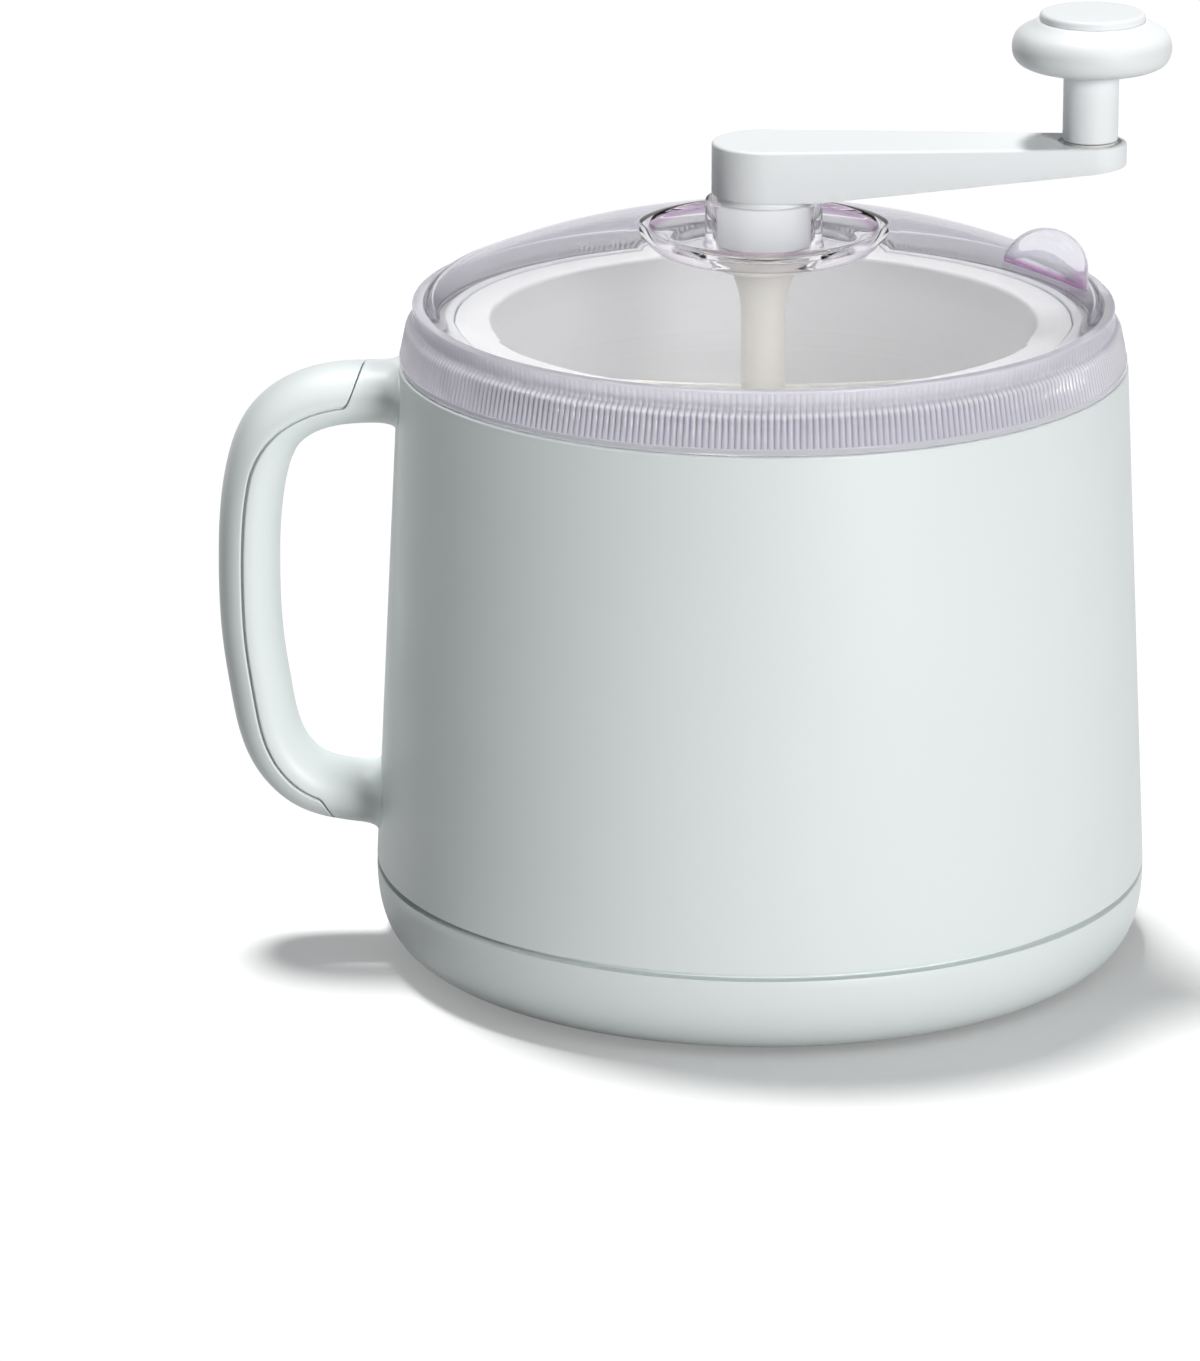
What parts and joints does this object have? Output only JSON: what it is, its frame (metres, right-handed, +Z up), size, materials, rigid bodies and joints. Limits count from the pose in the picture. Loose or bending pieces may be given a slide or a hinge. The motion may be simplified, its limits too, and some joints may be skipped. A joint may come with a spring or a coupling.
{
  "type": "hand crank ice cream freezer",
  "caption": "Mug shaped white housing with a side handle, a ribbed clear clamping ring, a clear domed lid and a top crank that turns a dasher in a lift-out chill cylinder.",
  "frame": {"origin": "centre of the underside of the base, on the table", "axes": "+Z up along the crank axis, the handle on -X, the crank arm at rest on +X"},
  "size_m": [0.2447, 0.201, 0.2483],
  "materials": {
    "white_housing": "smooth satin gloss moulding",
    "liner_plastic": "smooth moulding",
    "foam": "rigid foam, sealed in",
    "steel": "zinc plated",
    "pad_rubber": "matt grey",
    "seal_rubber": "matt",
    "can_aluminium": "drawn, fine circular brushing",
    "cooling_fill": "sealed cooling gel",
    "rim_plastic": "smooth moulding",
    "clear_ring": "clear, polished, ribbed",
    "clear_lid": "clear, polished",
    "seal_clear": "translucent",
    "dasher_plastic": "smooth moulding",
    "white_crank": "smooth satin gloss moulding",
    "washer_plastic": "natural"
  },
  "bodies": {
    "housing": {"housing_shell": "white_housing", "handle_cover": "white_housing", "housing_liner": "liner_plastic", "insulation_foam": "foam", "base_cover": "white_housing", "base_screws": "steel", "base_pads": "pad_rubber", "rim_gasket": "seal_rubber"},
    "cylinder": {"cylinder_inner_can": "can_aluminium", "cylinder_outer_can": "can_aluminium", "refrigerant_fill": "cooling_fill", "cylinder_rim": "rim_plastic", "fill_plug": "seal_rubber", "pivot_cup": "rim_plastic"},
    "ring": {"grip_ring": "clear_ring"},
    "lid": {"lid": "clear_lid", "lid_gasket": "seal_clear"},
    "dasher": {"dasher": "dasher_plastic"},
    "crank": {"crank_arm": "white_crank", "knob_spindle": "steel", "spindle_washer": "washer_plastic", "spindle_clip": "steel"},
    "knob": {"knob_grip": "white_crank", "knob_cap": "white_crank"}
  },
  "joints": [
    {"name": "cylinder_lift", "type": "slide", "parent": "housing", "child": "cylinder", "axis": [0, 0, 1], "range_m": [0, 0.13]},
    {"name": "ring_turn", "type": "hinge", "parent": "cylinder", "child": "ring", "pos_m": [0, 0, 0.165], "axis": [0, 0, 1], "range_deg": [0, 25]},
    {"name": "lid_lift", "type": "slide", "parent": "ring", "child": "lid", "axis": [0, 0, 1], "range_m": [0, 0.13]},
    {"name": "crank_turn", "type": "hinge", "parent": "lid", "child": "dasher", "pos_m": [0, 0, 0.185], "axis": [0, 0, 1], "continuous": true},
    {"name": "crank_lift", "type": "slide", "parent": "dasher", "child": "crank", "axis": [0, 0, 1], "range_m": [0, 0.025]},
    {"name": "knob_spin", "type": "hinge", "parent": "crank", "child": "knob", "pos_m": [0.0832, 0, 0.23], "axis": [0, 0, 1], "continuous": true}
  ]
}
